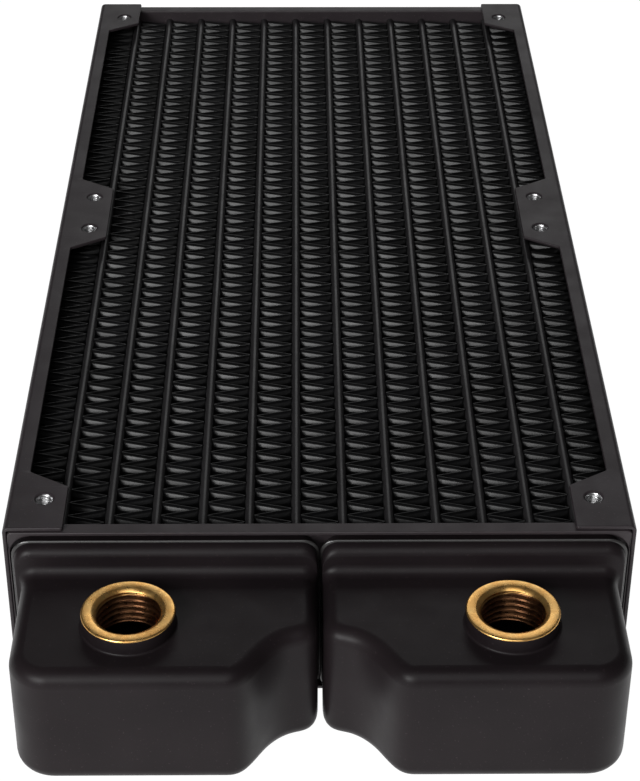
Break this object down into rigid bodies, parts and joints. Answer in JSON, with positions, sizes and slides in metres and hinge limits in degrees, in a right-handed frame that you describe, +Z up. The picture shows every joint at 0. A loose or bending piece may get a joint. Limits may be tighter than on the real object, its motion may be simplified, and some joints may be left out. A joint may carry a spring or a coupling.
{
  "type": "liquid cooling radiator",
  "caption": "Slim black liquid cooling radiator with a corrugated fin core, folded side frames with fan screw tabs, and separate inlet and outlet tanks with threaded brass ports at one end.",
  "frame": {"origin": "centre of the bounding box's bottom face, on the plane of the lower fan face", "axes": "+Z up towards the fan face that the ports stand on, +Y from the ports to the return tank, +X to the right seen from the port end"},
  "size_m": [0.1192, 0.2918, 0.041],
  "materials": {
    "frame_paint": "satin black powder coat on folded steel sheet",
    "header_paint": "satin black paint on pressed brass sheet",
    "tank_paint": "semi-gloss black paint on pressed brass",
    "fin_paint": "thin satin black paint on corrugated copper",
    "tube_paint": "thin satin black paint on brass tube",
    "port_brass": "bare machined brass face and thread, painted black outside"
  },
  "bodies": {
    "root": {"tube_01": "tube_paint", "tube_02": "tube_paint", "tube_03": "tube_paint", "tube_04": "tube_paint", "tube_05": "tube_paint", "tube_06": "tube_paint", "tube_07": "tube_paint", "tube_08": "tube_paint", "tube_09": "tube_paint", "tube_10": "tube_paint", "tube_11": "tube_paint", "tube_12": "tube_paint", "fin_01": "fin_paint", "fin_02": "fin_paint", "fin_03": "fin_paint", "fin_04": "fin_paint", "fin_05": "fin_paint", "fin_06": "fin_paint", "fin_07": "fin_paint", "fin_08": "fin_paint", "fin_09": "fin_paint", "fin_10": "fin_paint", "fin_11": "fin_paint", "fin_12": "fin_paint", "fin_13": "fin_paint", "left_core_plate": "fin_paint", "right_core_plate": "fin_paint", "front_header": "header_paint", "rear_header": "header_paint", "inlet_tank": "tank_paint", "outlet_tank": "tank_paint", "return_tank": "tank_paint", "inlet_port": "port_brass", "outlet_port": "port_brass", "left_side_frame": "frame_paint", "right_side_frame": "frame_paint"}
  },
  "joints": []
}
